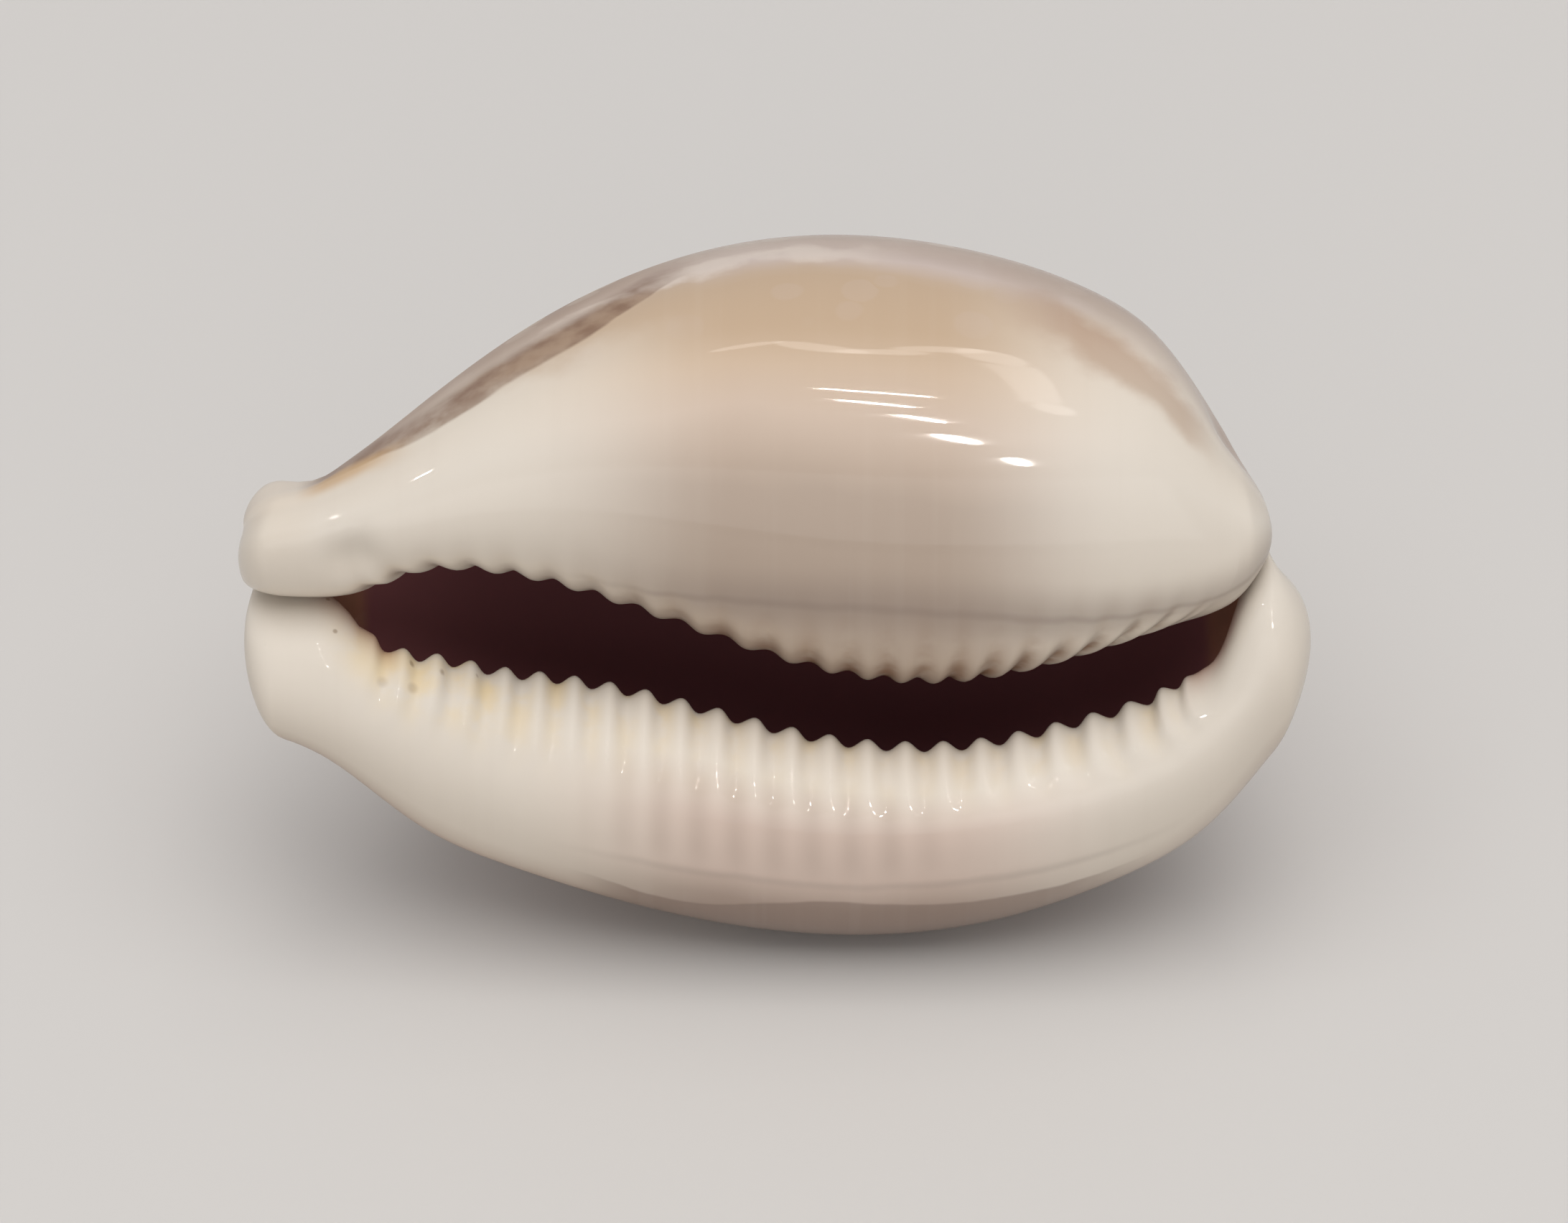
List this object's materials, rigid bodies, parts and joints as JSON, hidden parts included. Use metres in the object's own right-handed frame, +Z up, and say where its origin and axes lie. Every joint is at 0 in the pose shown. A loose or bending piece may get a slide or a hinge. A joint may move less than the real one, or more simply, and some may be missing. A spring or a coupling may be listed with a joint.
{
  "type": "cowrie shell",
  "caption": "Deer cowrie shell lying on the side of its outer lip, with the long toothed aperture turned to the front and up.",
  "frame": {"origin": "Under the middle of the shell's bounding box, on the plane of the flat spot it rests on.", "axes": "+Z up as it rests; +X along the shell from its front end to its rear end; -Y the side the aperture faces"},
  "size_m": [0.059, 0.0334, 0.0366],
  "materials": {
    "shell": "glossy enamel, cream to fawn"
  },
  "bodies": {
    "root": {"shell": "shell"}
  },
  "joints": []
}
